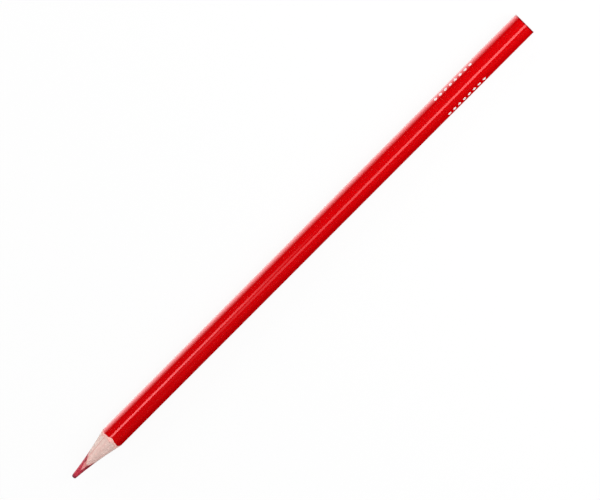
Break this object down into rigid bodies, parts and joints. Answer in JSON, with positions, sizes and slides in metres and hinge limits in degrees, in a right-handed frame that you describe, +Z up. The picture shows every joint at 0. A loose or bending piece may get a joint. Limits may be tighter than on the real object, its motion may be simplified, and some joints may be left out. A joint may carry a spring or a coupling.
{
  "type": "triangular colour pencil",
  "caption": "Wood-cased colour pencil with a rounded triangular red barrel, sharpened to a bare wood point with a blunt red core, and a plain sawn tail.",
  "frame": {"origin": "middle of the pencil's length on the table, under the barrel's axis, on the face it lies on", "axes": "+X along the pencil from the point to the tail, +Z up through the upper corner, +Y to the side of the upper face that the glue seam meets"},
  "size_m": [0.176, 0.0068, 0.0066],
  "materials": {
    "wood_pink": "ground bare wood",
    "wood_beige": "ground bare wood",
    "glue": "dried wood glue",
    "colour_core": "matte waxy pigment",
    "primer": "matte primer",
    "lacquer": "colour lacquer",
    "varnish": "clear gloss varnish over red"
  },
  "bodies": {
    "root": {"slat_face": "wood_pink", "slat_corner": "wood_beige", "glue_film": "glue", "core": "colour_core", "primer_coat": "primer", "lacquer_coat": "lacquer", "varnish_coat": "varnish"}
  },
  "joints": []
}
